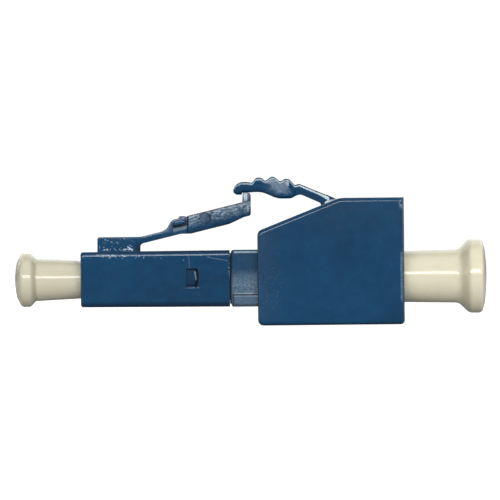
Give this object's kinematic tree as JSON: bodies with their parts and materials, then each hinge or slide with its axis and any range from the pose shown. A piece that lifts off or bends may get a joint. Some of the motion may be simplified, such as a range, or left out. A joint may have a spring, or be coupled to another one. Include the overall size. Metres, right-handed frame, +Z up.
{
  "type": "fibre optic attenuator",
  "caption": "In-line fixed fibre attenuator: square latched plug, short neck, block with matching socket and ribbed thumb lever, sprung ferrule inside, push-on dust caps.",
  "frame": {"origin": "centre of the bounding box in plan, on the plane of the block's flat foot", "axes": "+X along the fibre from plug to socket, +Z up from the foot to the latch side, +Y across"},
  "size_m": [0.0382, 0.006, 0.012],
  "materials": {
    "blue_shell": "satin",
    "blue_satin": "satin",
    "white_ceramic": "polished",
    "doped_glass": "polished",
    "plated_brass": "satin",
    "spring_wire": "satin",
    "ivory_cap": "satin"
  },
  "bodies": {
    "housing": {"plug_housing": "blue_shell", "inner_body": "blue_satin", "receptacle_body": "blue_shell", "split_sleeve": "white_ceramic", "float_spring": "spring_wire"},
    "latch": {"latch_arm": "blue_shell"},
    "trigger": {"trigger_arm": "blue_shell"},
    "ferrule_carrier": {"ferrule": "white_ceramic", "attenuating_fibre": "doped_glass", "ferrule_flange": "plated_brass"},
    "front_cap": {"front_dust_cap": "ivory_cap"},
    "rear_plug": {"rear_dust_plug": "ivory_cap"}
  },
  "joints": [
    {"name": "trigger_press", "type": "hinge", "parent": "housing", "child": "trigger", "pos_m": [0.006, 0, 0.01014], "axis": [0, -1, 0], "range_deg": [0, 14], "stiffness_Nm_per_rad": 0.004},
    {"name": "latch_press", "type": "hinge", "parent": "housing", "child": "latch", "pos_m": [-0.00895, 0, 0.00695], "axis": [0, 1, 0], "range_deg": [0, 10.1], "stiffness_Nm_per_rad": 0.004},
    {"name": "ferrule_float", "type": "slide", "parent": "housing", "child": "ferrule_carrier", "axis": [1, 0, 0], "range_m": [0, 0.0008], "stiffness_N_per_m": 200, "deforming": ["float_spring"]},
    {"name": "front_cap_pull", "type": "slide", "parent": "ferrule_carrier", "child": "front_cap", "axis": [-1, 0, 0], "range_m": [0, 0.006]},
    {"name": "rear_plug_pull", "type": "slide", "parent": "housing", "child": "rear_plug", "axis": [1, 0, 0], "range_m": [0, 0.0105]}
  ],
  "couplings": [
    {"joint": "latch_press", "follows": "trigger_press", "ratio": 0.72}
  ]
}
